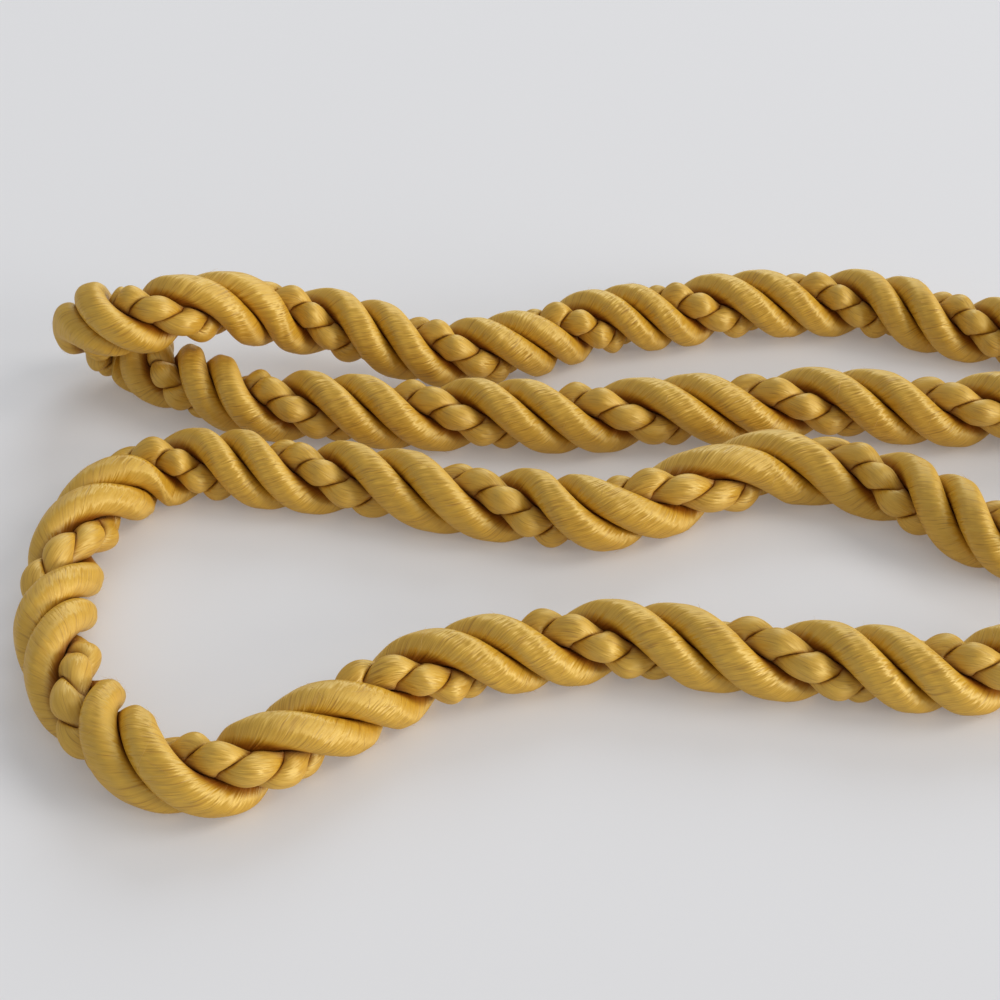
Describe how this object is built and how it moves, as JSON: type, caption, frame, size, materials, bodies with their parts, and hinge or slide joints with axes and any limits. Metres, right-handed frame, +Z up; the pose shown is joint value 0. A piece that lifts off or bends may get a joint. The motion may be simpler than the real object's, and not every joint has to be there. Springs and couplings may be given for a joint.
{
  "type": "rope curtain holdback",
  "caption": "Thick twisted gold rope for holding back a curtain, smooth floss strands laid together with a beaded cord, lying in loose loops.",
  "frame": {"origin": "on the table, under the middle of the rope's outer box", "axes": "+X along the runs of rope, to the right in the picture; +Y away from the viewer; +Z up from the table"},
  "size_m": [0.326, 0.2123, 0.0402],
  "materials": {
    "plain_floss": "satin",
    "corded_floss": "satin"
  },
  "bodies": {
    "root": {"plain_strand_a": "plain_floss", "plain_strand_b": "plain_floss", "corded_strand": "corded_floss"}
  },
  "joints": []
}
